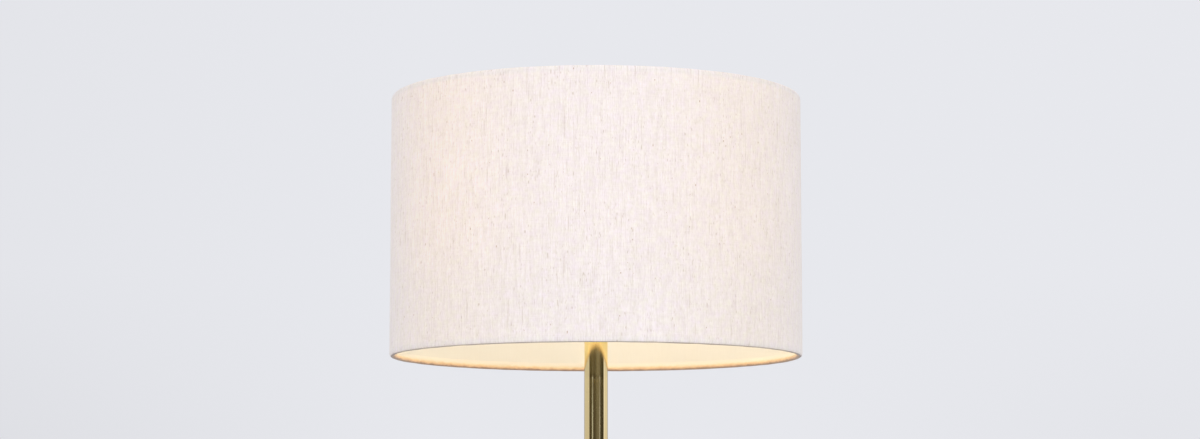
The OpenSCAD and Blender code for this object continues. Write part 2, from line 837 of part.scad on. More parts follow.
module screw_shell() {
    color("#d4b26a")
        translate([0, 0, body_top_z])
        difference() {
            cylinder(r = screw_shell_in_r + screw_shell_wall, h = shell_top_z - 2 - body_top_z);
            translate([0, 0, screw_shell_floor]) cylinder(r = screw_shell_in_r, h = holder_h);
            translate([0, 0, -1]) cylinder(r = contact_r + 1.5, h = 4);
        }
}

module centre_contact() {
    color("#d4b26a")
        translate([0, 0, body_top_z])
        union() {
            cylinder(r = contact_r, h = contact_t / 2);
            cylinder(r = contact_r - 1, h = contact_t);
        }
}

// A lead lies in the gap between a terminal screw's head and the body
module lampholder_screws() {
    color("#d4b26a")
        for (s = [-1, 1])
        translate([s * terminal_x, 0, body_z - lead_d])
        rotate([180, 0, 0])
        pan_screw(terminal_shank_d, lead_d + 5, terminal_head_d, terminal_head_h);
}

module switch_bush() {
    color("#1d1d1d")
        difference() {
            switch_hole(rotor_d / 2 + run - fit, switch_bush_y, switch_bush_y - switch_bush_len);
            switch_hole(spindle_d / 2 + run, 0, -2 * shell_r);
        }
}

module switch_spindle() {
    color("#b8b8b8")
        union() {
            switch_hole(rotor_d / 2, rotor_y - run, rotor_y - rotor_len);
            switch_hole(spindle_d / 2, rotor_y - rotor_len + eps, key_y - key_hub_len + 2);
        }
}

// The key: a round hub over the spindle and a flat paddle with a round end
module switch_key() {
    paddle_t = 3.6;
    color("#1d1d1d")
        difference() {
            union() {
                switch_hole(spindle_d / 2 + 2, key_y, key_y - key_hub_len);
                translate([-key_w / 2, key_y - key_len + key_w / 2, switch_z - paddle_t / 2])
                    cube([key_w, key_len - key_w / 2 - 3, paddle_t]);
                translate([0, key_y - key_len + key_w / 2, switch_z - paddle_t / 2])
                    cylinder(d = key_w, h = paddle_t);
            }
            switch_hole(spindle_d / 2 + fit, key_y + 1, key_y - key_hub_len + 2 - fit);
        }
}

// The two long leads run from the terminal block up the threaded tube to the lampholder
lead_in_r = 1.9;
under_head_y = (terminal_shank_d + lead_d) / 2 + fit;
function long_lead(s) = concat(
    curve([
        [s * way_pitch, -block_w / 2 + 3, block_bore_z],
        [s * way_pitch, -block_w / 2 - 7, block_bore_z],
        [s * way_pitch * 0.9, -block_w / 2 - 6, block_z + block_h],
        [s * way_pitch * 0.6, -block_w / 2 - 1, block_z + block_h + 1.6]
    ]),
    [for (p = curve([
        [s * way_pitch * 0.6, -block_w / 2 - 1, block_z + block_h + 1.6],
        [s * way_pitch * 0.3, -block_w / 2 + 4, block_z + block_h + 3.2],
        [s * lead_in_r, 0, block_z + block_h + 2.4],
        [s * lead_in_r, 0, rod_z + 1]
    ])) if (p[1] > -block_w / 2 - 0.9) p],
    curve([
        [s * lead_in_r, 0, rod_top_z - 1],
        [s * lead_in_r, 0, body_z - 0.8],
        [s * (terminal_x - 7), under_head_y + 1.6, body_z - lead_d / 2],
        [s * (terminal_x + 1.5), under_head_y, body_z - lead_d / 2]
    ])
);

module live_lead() { color("#6b3f1d") lead(long_lead(-1), [1, 0, 0]); }
module neutral_lead() { color("#3f78b8") lead(long_lead(1), [1, 0, 0]); }

module earth_lead() {
    path = curve([
        [0, -block_w / 2 + 3, block_bore_z],
        [0, -block_w / 2 - 7, block_bore_z],
        [0, -tag_reach + 1.6, block_z + block_h],
        [0, -tag_reach + 1.6, hub_z - hub_washer_t - tag_t - 0.15]
    ]);
    color("#7a9a3a") lead(path, [1, 0, 0]);
}

module bulb_contact() {
    color("#b8b8b8")
        translate([0, 0, bulb_z])
        cylinder(r1 = 2.6, r2 = 4.6, h = 1.5);
}

module bulb_insulator() {
    color("#1a1a1a")
        translate([0, 0, bulb_z + 1.5])
        cylinder(r1 = 5, r2 = bulb_thread_d / 2 - 3.2, h = bulb_cap_z - bulb_z - 1.5);
}

// The screw cap: a thin shell with rounded-off threads, closed by the insulator below
crest_r = bulb_thread_d / 2;
root_r = crest_r - 0.8;
module cap_outline(inset) {
    polygon(concat(
        [[0, bulb_cap_z + inset], [crest_r - 3.2, bulb_cap_z + inset]],
        [for (i = [0 : 2 * threads])
            [(i % 2 == 0 ? root_r : crest_r) - inset, bulb_cap_z + 2 + i * bulb_pitch / 2]],
        [[crest_r - inset, cap_skirt_z],
            [crest_r - inset, bulb_cap_top_z + (inset > 0 ? 1 : 0)],
            [0, bulb_cap_top_z + (inset > 0 ? 1 : 0)]]
    ));
}

module bulb_cap() {
    color("#c9c9c4")
        rotate_extrude($fn = 96)
        difference() {
            cap_outline(0);
            cap_outline(cap_wall);
        }
}

// Outline of the bulb, grown inward by inset: a ball that runs into the neck in one hollow arc
module bulb_outline(inset) {
    r = bulb_r - inset;
    neck = neck_glass_r - inset;
    arc = bulb_neck_arc + inset;
    arc_x = neck + arc;
    arc_z = bulb_belly_z - sqrt(pow(r + arc, 2) - pow(arc_x, 2));
    meet = [r * arc_x / (r + arc), bulb_belly_z - r * (bulb_belly_z - arc_z) / (r + arc)];
    foot = bulb_foot_z - (inset > 0 ? 1 : 0);
    difference() {
        polygon([
            [0, foot], [neck, foot], [neck, arc_z], [arc_x, arc_z], meet, [0, meet[1]]
        ]);
        translate([arc_x, arc_z]) circle(r = arc, $fn = 200);
    }
    intersection() {
        translate([0, bulb_belly_z]) circle(r = r, $fn = 128);
        translate([0, meet[1] - eps]) square([2 * r, 3 * r]);
    }
}

module bulb_glass() {
    color("#f6efe0")
        rotate_extrude($fn = 96)
        difference() {
            bulb_outline(0);
            bulb_outline(bulb_wall);
        }
}

module bulb_mount() {
    color("#dfe6e6")
        rotate_extrude($fn = 48)
        polygon([
            [0, mount_z], [mount_flare_r, mount_z], [mount_flare_r, bulb_foot_z],
            [mount_flare_r - 1, bulb_foot_z], [6, bulb_foot_z + 4], [4, bulb_foot_z + 12],
            [3, mount_top_z - 1], [2, mount_top_z], [0, mount_top_z]
        ]);
}

module filament_supports() {
    color("#9a9a9a")
        for (s = [-1, 1])
        translate([s * support_foot_x, 0, mount_top_z + support_d / 2])
        rotate([0, s * atan((support_x - support_foot_x) / support_rise), 0])
        cylinder(d = support_d, h = norm([support_x - support_foot_x, support_rise]));
}

module filament() {
    color("#8a7a5a")
        translate([-support_x - 0.6, 0, support_top_z + support_d / 2 + filament_d / 2 + 0.2])
        rotate([0, 90, 0])
        cylinder(d = filament_d, h = 2 * support_x + 1.2);
}

// Rolled edge in radius and height over the edge: the cloth goes round the ring and back up the liner
module hem_outline() {
    c = [ring_circle_r, ring_lift];
    inner = roll_r * [cos(wrap_a), sin(wrap_a)];
    outer = (roll_r + linen_t) * [cos(wrap_a), sin(wrap_a)];
    face_x = liner_in_r - fit;
    difference() {
        translate(c) circle(r = roll_r + linen_t, $fn = 48);
        translate(c) circle(r = roll_r, $fn = 48);
        translate(c) polygon([[0, 0], [9, 0], [9, 9], [-9, 9]]);
    }
    polygon([
        c + inner,
        [face_x, c[1] + inner[1] + face_x - c[0] - inner[0]],
        [face_x, hem_h],
        [face_x - linen_t, hem_h],
        [face_x - linen_t, c[1] + outer[1] + face_x - linen_t - c[0] - outer[0]],
        c + outer
    ]);
}

module linen_outline() {
    translate([linen_in_r, ring_lift]) square([linen_t, shade_h - 2 * ring_lift]);
    hem_outline();
    translate([0, shade_h]) mirror([0, 1]) hem_outline();
}

// The spider's arms rise from the washer to the top ring
arm_in_r = spider_washer_d / 2 - 5;
arm_in_z = harp_seat_z + spider_t / 2;
arm_rise = shade_top_z - ring_lift - arm_in_z;
arm_run = ring_circle_r - arm_in_r;
module spider_arm(turn, r) {
    rotate([0, 0, turn])
        translate([arm_in_r, 0, arm_in_z])
        rotate([0, atan(arm_run / arm_rise), 0])
        cylinder(r = r, h = norm([arm_run, arm_rise]));
}

module shade_linen() {
    color("#f3ebe4")
        difference() {
            translate([0, 0, shade_z]) rotate_extrude($fn = 200) linen_outline();
            for (turn = gap_turns) spider_arm(turn, spider_arm_d / 2 + 0.1);
        }
}

module shade_liner() {
    color("#f6e6cc")
        translate([0, 0, shade_z + ring_lift + ring_r])
        tube(liner_r, liner_in_r, shade_h - 2 * ring_lift - 2 * ring_r);
}

module shade_ring(z) {
    translate([0, 0, z])
        rotate_extrude($fn = 200)
        translate([ring_circle_r, 0])
        circle(r = ring_r, $fn = 32);
}

module top_ring() { color("#e6e2da") shade_ring(shade_top_z - ring_lift); }
module bottom_ring() { color("#e6e2da") shade_ring(shade_z + ring_lift); }

module spider() {
    color("#e6e2da")
        difference() {
            union() {
                translate([0, 0, harp_seat_z]) cylinder(d = spider_washer_d, h = spider_t);
                difference() {
                    for (turn = gap_turns) spider_arm(turn, spider_arm_d / 2);
                    translate([0, 0, harp_seat_z - 5]) cylinder(d = 4 * harp_boss_r, h = 5);
                }
            }
            shade_ring(shade_top_z - ring_lift);
            translate([0, 0, harp_seat_z - 1]) cylinder(d = stud_d + 2 * run, h = spider_t + 8);
            translate([0, 0, harp_seat_z + spider_t]) cylinder(d = finial_base_d + 2, h = 10);
        }
}

module finial() {
    base_h = 3;
    neck_h = 3;
    color("#d4b26a")
        translate([0, 0, harp_seat_z + spider_t])
        difference() {
            rotate_extrude($fn = 96)
                intersection() {
                    union() {
                        square([finial_base_d / 2, base_h - 1]);
                        square([finial_base_d / 2 - 1, base_h]);
                        translate([finial_base_d / 2 - 1, base_h - 1]) circle(r = 1, $fn = 24);
                        square([finial_base_d / 4, base_h + neck_h + 2]);
                        translate([0, base_h + neck_h + finial_ball_d / 2 - 0.5])
                            circle(d = finial_ball_d, $fn = 96);
                        translate([0, finial_h - 2]) circle(r = 2, $fn = 32);
                    }
                    square([finial_ball_d + finial_base_d, finial_h]);
                }
            translate([0, 0, -1]) cylinder(d = stud_d + 2 * run, h = stud_len - spider_t + 2);
        }
}

foot_pads();
feet();
leg_1();
leg_2();
leg_3();
leg_ferrules();
leg_grub_screws();
tripod_hub();
hub_cup();
cup_screws();
inlet_bush();
terminal_block();
terminal_screws();
block_screw();
earth_tag();
hub_washer();
hub_nut();
threaded_tube();
stem_collar();
stem();
stem_cap();
harp_saddle();
harp();
harp_sleeve_left();
harp_sleeve_right();
lampholder_cap();
lampholder_shell();
lampholder_liner();
lampholder_body();
screw_shell();
centre_contact();
lampholder_screws();
switch_bush();
switch_spindle();
switch_key();
live_lead();
neutral_lead();
earth_lead();
bulb_contact();
bulb_insulator();
bulb_cap();
bulb_glass();
bulb_mount();
filament_supports();
filament();
shade_linen();
shade_liner();
top_ring();
bottom_ring();
spider();
finial();
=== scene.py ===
"""The looks of a tripod table lamp: a linen drum shade on a polished brass stem and three splayed legs.

Metres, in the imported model's frame: +Z up, the front is -Y. Nothing is moved or resized here: the
linen is rebuilt as a woven sheet round the shade's rings, and every other piece keeps its CAD shape.
"""
import math

import bpy
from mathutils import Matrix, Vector, noise


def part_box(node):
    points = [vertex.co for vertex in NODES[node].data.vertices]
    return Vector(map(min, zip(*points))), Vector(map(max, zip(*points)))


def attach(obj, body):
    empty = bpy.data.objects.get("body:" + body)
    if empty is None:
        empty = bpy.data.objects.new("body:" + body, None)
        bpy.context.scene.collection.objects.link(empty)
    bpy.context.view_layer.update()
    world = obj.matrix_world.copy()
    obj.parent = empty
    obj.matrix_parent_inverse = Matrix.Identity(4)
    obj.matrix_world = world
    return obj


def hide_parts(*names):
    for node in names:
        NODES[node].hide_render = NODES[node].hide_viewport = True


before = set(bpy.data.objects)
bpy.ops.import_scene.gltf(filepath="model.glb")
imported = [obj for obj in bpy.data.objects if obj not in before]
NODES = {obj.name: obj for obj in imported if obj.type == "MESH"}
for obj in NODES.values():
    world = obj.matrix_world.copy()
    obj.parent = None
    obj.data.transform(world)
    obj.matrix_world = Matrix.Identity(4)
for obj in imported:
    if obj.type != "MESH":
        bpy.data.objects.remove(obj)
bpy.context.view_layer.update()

MM = 0.001

# The photograph's view: its width in pixels, the lens it was fitted with, and where the lamp stands in it
PHOTO_W = 1200
FOCAL_PX = 2916
AXIS_PX = 596.0
SHADE_RADII_AWAY = 14.13
SHADE_RADII_BELOW_RIM = 1.016
PITCH_DEG = 6.826
SENSOR_MM = 36.0
VIEW_REACH = 60

# The shade, its lower ring and the bulb, measured from the frame, and how thick the cloth and liner are
SHADE_LOW, SHADE_HIGH = (Vector(c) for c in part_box("shade_linen"))
SHADE_R = (SHADE_HIGH.x - SHADE_LOW.x) / 2
SHADE_H = SHADE_HIGH.z - SHADE_LOW.z
RING_LOW, RING_HIGH = (Vector(c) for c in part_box("bottom_ring"))
RING_WIRE_R = (RING_HIGH.z - RING_LOW.z) / 2
RING_CIRCLE_R = (RING_HIGH.x - RING_LOW.x) / 2 - RING_WIRE_R
LINER_LOW, LINER_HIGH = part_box("shade_liner")
LINER_R = (LINER_HIGH[0] - LINER_LOW[0]) / 2
BULB_LOW, BULB_HIGH = (Vector(c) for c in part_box("bulb_glass"))
BULB_R = (BULB_HIGH.x - BULB_LOW.x) / 2
BULB_Z = BULB_HIGH.z - BULB_R
LINER_T = 0.4 * MM
LINEN_T = 0.8 * MM


def link(obj):
    bpy.context.scene.collection.objects.link(obj)
    return obj


def grey(v):
    return (v, v, v)


def dim(colour, share):
    return tuple(share * c for c in colour)


class Graph:
    """A short way to write a node tree: an input takes a value, a socket or another node."""

    def __init__(self, tree):
        self.tree = tree
        tree.nodes.clear()

    def add(self, kind, inputs=(), **settings):
        node = self.tree.nodes.new(kind)
        for key, value in settings.items():
            setattr(node, key, value)
        for key, value in dict(inputs).items():
            self.put(node.inputs[key], value)
        return node

    def put(self, socket, value):
        if isinstance(value, bpy.types.NodeSocket):
            self.tree.links.new(value, socket)
        elif isinstance(value, bpy.types.Node):
            self.tree.links.new(value.outputs[0], socket)
        elif socket.type == "RGBA":
            socket.default_value = (*value, 1)
        else:
            socket.default_value = value

    def math(self, operation, *values):
        return self.add("ShaderNodeMath", enumerate(values), operation=operation).outputs[0]

    def ramp(self, fac, stops, interpolation="LINEAR"):
        node = self.add("ShaderNodeValToRGB", {0: fac})
        node.color_ramp.interpolation = interpolation
        points = node.color_ramp.elements
        while len(points) < len(stops):
            points.new(0.5)
        for point, (where, shade) in zip(points, stops):
            point.position = where
            point.color = (*shade, 1)
        return node.outputs[0]

    def mix(self, fac, a, b, blend="MIX"):
        """Two colours mixed. The node's colour sockets come after those for numbers and vectors."""
        node = self.add("ShaderNodeMix", data_type="RGBA", blend_type=blend)
        for socket, value in ((node.inputs[0], fac), (node.inputs[6], a), (node.inputs[7], b)):
            self.put(socket, value)
        return node.outputs[2]

    def spread(self, fac, low, high, start=0.0, end=1.0, smooth=False):
        """fac, from start to end, spread from low to high."""
        node = self.add("ShaderNodeMapRange", {0: fac, 1: start, 2: end, 3: low, 4: high})
        if smooth:
            node.interpolation_type = "SMOOTHSTEP"
        return node.outputs[0]

    def rise(self, fac, start, end, smooth=False):
        """0 up to start and 1 from end on."""
        return self.spread(fac, 0.0, 1.0, start, end, smooth)

    def fall(self, fac, start, end):
        """1 up to start and 0 from end on."""
        return self.spread(fac, 1.0, 0.0, start, end)

    def tone(self, value):
        """A grey from one number."""
        return self.add("ShaderNodeCombineColor", {0: value, 1: value, 2: value}).outputs[0]


# ---------------------------------------------------------------------------------------------
# Camera, lights and surroundings

# The backdrop, and the directions over which painted shade makes its left, its lower corners and its foot
# dimmer
WALL = (0.800, 0.808, 0.848)
WALL_LEFT = (-0.20, -0.06)
LEFT_CORNER = (-0.21, -0.06)
RIGHT_CORNER = (0.06, 0.18)
WALL_FOOT = (0.045, 0.10)

# The room that gloss sees instead
CEILING = grey(0.85)
ROOM_BRIGHT = (0.63, 0.61, 0.67)
ROOM_DARK = (0.036, 0.033, 0.022)
ROOM_BACK = (0.36, 0.35, 0.37)

# The room's colours by compass angle in degrees: 0 is the front, +X is at 90, and the back at both ends
ROOM = [
    (-180, ROOM_BRIGHT), (-174, ROOM_BRIGHT), (-166, ROOM_BACK), (-157, ROOM_BACK),
    (-140, ROOM_BRIGHT), (-71, ROOM_BRIGHT), (-66, (0.10, 0.085, 0.06)), (-61, (0.058, 0.045, 0.028)),
    (-46, (0.055, 0.044, 0.030)), (-34, (0.10, 0.092, 0.075)), (-22, (0.062, 0.050, 0.038)),
    (-8, (0.066, 0.056, 0.043)), (2, (0.105, 0.093, 0.075)), (10, (0.150, 0.140, 0.130)),
    (25, (0.155, 0.143, 0.130)), (38, (0.140, 0.125, 0.110)), (46, (0.045, 0.040, 0.034)),
    (79, ROOM_DARK), (83, (0.84, 0.83, 0.97)), (98, (0.84, 0.82, 0.96)), (107, (0.73, 0.71, 0.76)),
    (140, (0.74, 0.72, 0.77)), (158, ROOM_BACK), (166, ROOM_BACK), (174, ROOM_BRIGHT), (180, ROOM_BRIGHT),
]

# Pale streaks in the dark front, and the heights over which they come and go on the stem
LEFT_STREAK = (0.74, 0.80, 1.0)
RIGHT_STREAK = (0.50, 0.54, 0.74)
STREAKS = [
    (-42, grey(0)), (-38, LEFT_STREAK), (-31, LEFT_STREAK), (-26, grey(0)),
    (30, grey(0)), (34, RIGHT_STREAK), (40, RIGHT_STREAK), (44, grey(0)),
]
STREAKS_START = (0.030, 0.036)
STREAKS_END = (0.0520, 0.0575)

# A brown haze, which comes over those heights and again under the horizon
HAZE = (0.062, 0.055, 0.040)
HAZE_OVER = (0.054, 0.069)
HAZE_UNDER = (-0.04, 0.0)

# The room near the floor, as greys, and the heights over which it and the ceiling take over
UNDER = [
    (-180, 0.36), (-150, 0.50), (-118, 0.74), (-82, 0.60), (-58, 0.22), (-20, 0.13), (6, 0.30),
    (30, 0.24), (52, 0.12), (74, 0.34), (92, 0.78), (124, 0.66), (150, 0.42), (180, 0.36),
]
UNDER_FROM = (-0.11, -0.19)
CEILING_FROM = (0.5, 0.85)

# The lights: place, watts and size
KEY_AT = (-0.2, -2.9, 1.6)
KEY_W = 18.5
KEY_D = 1.4
FILL_AT = (2.2, -0.6, 1.2)
FILL_W = 3.0
FILL_D = 1.6
GLOW_AT = (0, 0, BULB_Z - 16 * MM)
GLOW_W = 0.615
GLOW_R = 0.9 * BULB_R
GLOW_COLOUR = (1.0, 0.835, 0.585)


def make_camera():
    data = bpy.data.cameras.new("view")
    data.sensor_width = SENSOR_MM
    data.lens = FOCAL_PX / PHOTO_W * SENSOR_MM
    data.clip_end = VIEW_REACH
    away = SHADE_RADII_AWAY * SHADE_R
    aside = (PHOTO_W / 2 - AXIS_PX) / FOCAL_PX * away
    camera = link(bpy.data.objects.new("view", data))
    camera.location = (aside, -away, SHADE_LOW.z - SHADE_RADII_BELOW_RIM * SHADE_R)
    camera.rotation_euler = (math.radians(90 + PITCH_DEG), 0, 0)
    bpy.context.scene.camera = camera


def make_world():
    """A pale wall for the camera, soft even light, and for gloss a pale room that is dark in front."""
    world = bpy.data.worlds.new("studio")
    bpy.context.scene.world = world
    world.use_nodes = True
    g = Graph(world.node_tree)
    way = g.add("ShaderNodeTexCoord").outputs["Generated"]
    x, y, z = g.add("ShaderNodeSeparateXYZ", {0: way}).outputs
    rays = g.add("ShaderNodeLightPath").outputs
    wall = backdrop(g, x, z)
    shown = g.mix(rays["Is Glossy Ray"], soft_light(g, y, z), room_in_gloss(g, x, y, z))
    shown = g.mix(rays["Is Camera Ray"], shown, wall)
    shown = g.mix(rays["Is Transmission Ray"], shown, wall)
    g.add("ShaderNodeOutputWorld", {0: g.add("ShaderNodeBackground", {"Color": shown, "Strength": 1.0})})


def compass(g, around, stops, interpolation="LINEAR"):
    """A ramp over the compass, whose stops are angles: its middle is the front, and its ends the back."""
    return g.ramp(around, [(0.5 + degrees / 360, shade) for degrees, shade in stops], interpolation)


def room_in_gloss(g, x, y, z):
    """A room with pale windows at the sides, a dark front and a pale ceiling."""
    turn = g.math("ARCTAN2", x, g.math("MULTIPLY", y, -1))
    around = g.math("MULTIPLY_ADD", turn, 1 / (2 * math.pi), 0.5)
    room = compass(g, around, ROOM)
    streaked = g.mix(1.0, room, compass(g, around, STREAKS), "ADD")
    room = g.mix(g.math("MULTIPLY", g.fall(z, *STREAKS_END), g.rise(z, *STREAKS_START)), room, streaked)
    haze = g.math("ADD", g.rise(z, *HAZE_OVER), g.spread(z, 0.8, 0.0, *HAZE_UNDER))
    room = g.mix(1.0, room, g.mix(1.0, g.tone(haze), HAZE, "MULTIPLY"), "ADD")
    under = compass(g, around, [(degrees, grey(v)) for degrees, v in UNDER], "EASE")
    room = g.mix(g.rise(z, *UNDER_FROM, smooth=True), room, under)
    return g.mix(g.rise(z, *CEILING_FROM, smooth=True), room, CEILING)


def backdrop(g, x, z):
    """The wall, with painted shade: a little dimmer to the left and in its two lower corners."""
    left = g.spread(x, 0.032, 0.0, *WALL_LEFT)
    low = g.fall(z, *WALL_FOOT)
    left_corner = g.math("MULTIPLY", g.spread(x, 0.05, 0.0, *LEFT_CORNER), low)
    right_corner = g.math("MULTIPLY", g.spread(x, 0.0, 0.03, *RIGHT_CORNER), low)
    corners = g.math("ADD", left_corner, right_corner)
    shade = g.math("SUBTRACT", g.math("SUBTRACT", 1.0, left), corners)
    return g.mix(1.0, WALL, g.tone(shade), "MULTIPLY")


def soft_light(g, y, z):
    """Even light, a little stronger from above and from the front."""
    light = g.math("MULTIPLY_ADD", y, -0.08, g.math("MULTIPLY_ADD", z, 0.14, 0.722))
    return g.mix(1.0, g.tone(light), (1.0, 0.995, 0.99), "MULTIPLY")


def make_light(name, kind, watts, where, towards=None, **settings):
    """A lamp that gloss doesn't see."""
    data = bpy.data.lights.new(name, kind)
    data.energy = watts
    for key, value in settings.items():
        setattr(data, key, value)
    lamp = link(bpy.data.objects.new(name, data))
    lamp.location = where
    if towards is not None:
        lamp.rotation_euler = (Vector(towards) - Vector(where)).to_track_quat("-Z", "Y").to_euler()
    lamp.visible_glossy = False
    return lamp


def make_lights():
    middle = (0, 0, (SHADE_LOW.z + SHADE_HIGH.z) / 2)
    make_light("key", "AREA", KEY_W, KEY_AT, middle, shape="DISK", size=KEY_D)
    make_light("fill", "AREA", FILL_W, FILL_AT, middle, shape="DISK", size=FILL_D)
    glow = make_light("bulb_glow", "POINT", GLOW_W, GLOW_AT, color=GLOW_COLOUR, shadow_soft_size=GLOW_R)
    glow.visible_camera = False


# ---------------------------------------------------------------------------------------------
# Materials


def material(name):
    mat = bpy.data.materials.new(name)
    mat.use_nodes = True
    return mat, Graph(mat.node_tree)


def surface(g, shader):
    g.add("ShaderNodeOutputMaterial", {"Surface": shader})


def principled(g, inputs):
    return g.add("ShaderNodeBsdfPrincipled", inputs)


def object_place(g, scale=(1, 1, 1)):
    """Object coordinates in metres, each times its scale."""
    where = g.add("ShaderNodeTexCoord").outputs["Object"]
    return g.add("ShaderNodeMapping", {"Vector": where, "Scale": scale}).outputs[0]


def object_height(g):
    return g.add("ShaderNodeSeparateXYZ", {0: object_place(g)}).outputs[2]


def noise_at(g, place, pitch, detail, roughness=0.55):
    return g.add("ShaderNodeTexNoise", {
        "Vector": place, "Scale": pitch, "Detail": detail, "Roughness": roughness}).outputs[0]


def speckle(g, pitch, detail, scale=(1, 1, 1), roughness=0.55):
    """Noise over the object's own coordinates, with about pitch blobs to a metre."""
    return noise_at(g, object_place(g, scale), pitch, detail, roughness)


def bump(g, height, strength, distance, normal=None):
    inputs = {"Strength": strength, "Distance": distance, "Height": height}
    if normal is not None:
        inputs["Normal"] = normal
    return g.add("ShaderNodeBump", inputs).outputs[0]


def leaned(g, start, full, slope):
    """The surface's own normal, tipped down at the front and up at the back above the height start."""
    own = g.add("ShaderNodeTexCoord").outputs["Normal"]
    front_back = g.add("ShaderNodeSeparateXYZ", {0: own}).outputs[1]
    tip = g.math("MULTIPLY", front_back, g.spread(object_height(g), 0.0, slope, start, full, smooth=True))
    tipped = g.add("ShaderNodeVectorMath", {0: own, 1: g.add("ShaderNodeCombineXYZ", {2: tip})},
                   operation="ADD")
    return g.add("ShaderNodeVectorTransform", {0: tipped}, vector_type="NORMAL",
                 convert_from="OBJECT", convert_to="WORLD").outputs[0]


BRASS = (0.895, 0.725, 0.368)
BRIGHT_BRASS = (0.91, 0.73, 0.40)
TOOL_RING = 0.35 * MM


def brass(name, tint=BRASS, rough=0.13, turned=0.0, tarnish=0.35, leaning=None):
    """Polished brass: fine polishing lines, soft clouds of tarnish and, on turned parts, tool rings.

    leaning is (start, full, slope): from start up to full, the gloss turns to that of a tube that leans
    back by slope."""
    mat, g = material(name)
    clouds = speckle(g, 34, 4)
    lines = speckle(g, 1500, 2, scale=(1, 1, 0.02))
    spots = g.ramp(speckle(g, 420, 2), [(0.66, grey(0)), (0.76, grey(1))])
    dull = tuple(c * k for c, k in zip(tint, (0.80, 0.74, 0.62)))
    clouded = g.mix(g.ramp(clouds, [(0.50, grey(0)), (0.78, grey(tarnish))]), tint, dull)
    spotted = g.mix(g.math("MULTIPLY", spots, 0.25), clouded, dim(dull, 0.55))
    smear = g.math("ADD", g.spread(clouds, rough * 0.75, rough * 1.35), g.spread(lines, -0.02, 0.03))
    facing = leaned(g, *leaning) if leaning else None
    normal = bump(g, lines, 0.05, 0.02 * MM, facing)
    if turned:
        rings = g.math("SINE", g.math("MULTIPLY", object_height(g), 2 * math.pi / TOOL_RING))
        normal = bump(g, rings, turned, 0.004 * MM, normal)
    surface(g, principled(g, {
        "Base Color": spotted, "Metallic": 1.0, "Roughness": smear, "Normal": normal}))
    return mat


def steel(name, colour, rough=0.35, grain=0.15):
    """Plated steel or solder: fine flakes, in its tone and in its gloss."""
    mat, g = material(name)
    flakes = speckle(g, 900, 3)
    surface(g, principled(g, {
        "Base Color": g.mix(g.spread(flakes, 0, grain), colour, dim(colour, 0.6)), "Metallic": 1.0,
        "Roughness": g.spread(flakes, rough * 0.8, rough * 1.2),
        "Normal": bump(g, flakes, 0.1, 0.02 * MM)}))
    return mat


def moulded(name, colour, rough=0.4, grain=0.08, pitch=1600, coat=0.0):
    """Moulded plastic or rubber: a fine grain, a little dust and uneven gloss."""
    mat, g = material(name)
    fine = speckle(g, pitch, 3)
    dust = speckle(g, 60, 4)
    pale = tuple(min(1.0, c + grain) for c in colour)
    surface(g, principled(g, {
        "Base Color": g.mix(g.ramp(dust, [(0.45, grey(0)), (0.8, grey(0.5))]), colour, pale),
        "Roughness": g.spread(dust, rough * 0.85, min(1.0, rough * 1.2)),
        "Normal": bump(g, fine, 0.25, 0.05 * MM), "Coat Weight": coat}))
    return mat


def fibre(name, colour):
    """Pressed fibre board: matt, with upright strands."""
    mat, g = material(name)
    strands = speckle(g, 1800, 4, scale=(1, 1, 0.2), roughness=0.7)
    surface(g, principled(g, {
        "Base Color": g.mix(g.spread(strands, 0, 0.6), colour, dim(colour, 0.6)),
        "Roughness": 0.85, "Normal": bump(g, strands, 0.4, 0.1 * MM)}))
    return mat


# How fast the earth lead's stripe turns, in radians to a metre across and up
STRIPE_ACROSS = 2400
STRIPE_UP = 260


def insulation(name, colour, stripe=None):
    """A lead's insulation, with a slanted stripe if it is given a colour for one."""
    mat, g = material(name)
    tone = colour
    if stripe:
        place = g.add("ShaderNodeSeparateXYZ", {0: object_place(g)}).outputs
        slant = g.math("MULTIPLY_ADD", place[0], STRIPE_ACROSS, g.math("MULTIPLY", place[2], STRIPE_UP))
        across = g.math("MULTIPLY_ADD", g.math("SINE", slant), 0.5, 0.5)
        tone = g.mix(g.ramp(across, [(0.48, grey(0)), (0.52, grey(1))]), colour, stripe)
    fine = speckle(g, 2200, 2)
    surface(g, principled(g, {
        "Base Color": tone, "Roughness": g.spread(fine, 0.35, 0.5),
        "Normal": bump(g, fine, 0.2, 0.03 * MM)}))
    return mat


def black_glass(name):
    """The bulb cap's insulator: dark and wavy."""
    mat, g = material(name)
    waves = speckle(g, 240, 2)
    surface(g, principled(g, {
        "Base Color": g.mix(waves, (0.010, 0.010, 0.014), (0.03, 0.025, 0.03)),
        "Roughness": g.spread(waves, 0.08, 0.2), "Normal": bump(g, waves, 0.2, 0.2 * MM)}))
    return mat


def clear_glass(name):
    """The stem that carries the filament inside the bulb."""
    mat, g = material(name)
    waves = speckle(g, 160, 2)
    surface(g, principled(g, {
        "Base Color": (0.94, 0.97, 0.96), "Roughness": g.spread(waves, 0.02, 0.08),
        "Transmission Weight": 1.0, "IOR": 1.5, "Normal": bump(g, waves, 0.1, 0.2 * MM)}))
    return mat


HOTTEST_Z = BULB_Z - 6 * MM
HEAT_REACH = 1.6 * BULB_R


